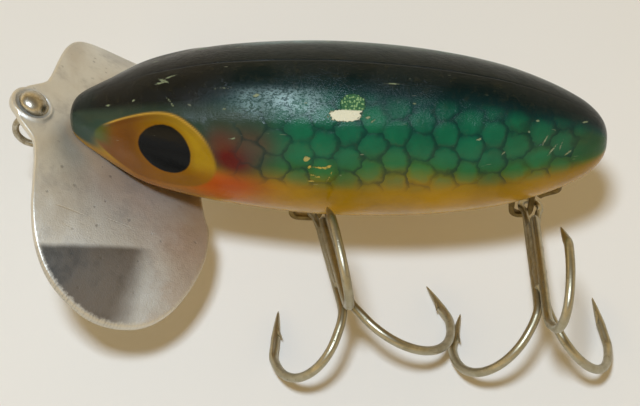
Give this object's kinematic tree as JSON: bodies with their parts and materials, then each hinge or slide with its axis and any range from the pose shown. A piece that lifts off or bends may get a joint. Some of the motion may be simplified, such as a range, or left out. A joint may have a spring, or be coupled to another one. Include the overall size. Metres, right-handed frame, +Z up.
{
  "type": "fishing lure",
  "caption": "Wobbling surface lure: torpedo-shaped moulded body, wide double-cupped metal lip, swivelling line tie and swinging treble hooks on strap hangers.",
  "frame": {"origin": "middle of the bottom of the bounding box, on the table plane that the right lip lobe and two hook bends touch", "axes": "+X from the nose to the tail, +Z up; the plug leans 13 degrees about X with its left side up and its hooks swung out to -Y, the way it sits on a table"},
  "size_m": [0.0874, 0.0562, 0.0333],
  "materials": {
    "body_paint": "glossy painted moulding: black-green back, teal scales, ochre belly, worn and chipped",
    "lip_metal": "worn matte sheet with scratches",
    "screw_metal": "tarnished, dulled",
    "tie_metal": "dull nickel-plated wire, pitted",
    "strap_metal": "stained and partly painted over",
    "hook_metal": "bronzed wire, bright on the upper edges"
  },
  "bodies": {
    "plug": {"body_left_half": "body_paint", "body_right_half": "body_paint", "lip_plate": "lip_metal", "lip_screw_front": "screw_metal", "lip_screw_rear": "screw_metal", "front_hanger_strap": "strap_metal", "front_hanger_screw_a": "screw_metal", "front_hanger_screw_b": "screw_metal", "rear_hanger_strap": "strap_metal", "rear_hanger_screw_a": "screw_metal", "rear_hanger_screw_b": "screw_metal"},
    "line_tie": {"line_tie_eye": "tie_metal", "line_tie_dome": "tie_metal", "line_tie_washer": "tie_metal"},
    "front_treble": {"front_treble_double_hook": "hook_metal", "front_treble_single_hook": "hook_metal"},
    "rear_treble": {"rear_treble_double_hook": "hook_metal", "rear_treble_single_hook": "hook_metal"}
  },
  "joints": [
    {"name": "line_tie_swivel", "type": "hinge", "parent": "plug", "child": "line_tie", "pos_m": [-0.04059, 0.00484, 0.02227], "axis": [-0.4695, -0.1986, -0.8603], "continuous": true},
    {"name": "front_treble_swing", "type": "hinge", "parent": "plug", "child": "front_treble", "pos_m": [0.00073, 0.00086, 0.00506], "axis": [0, 0.225, 0.9744], "range_deg": [-24, 2]},
    {"name": "rear_treble_swing", "type": "hinge", "parent": "plug", "child": "rear_treble", "pos_m": [0.03163, 0.00146, 0.00764], "axis": [0, 0.225, 0.9744], "range_deg": [0, 175]}
  ]
}
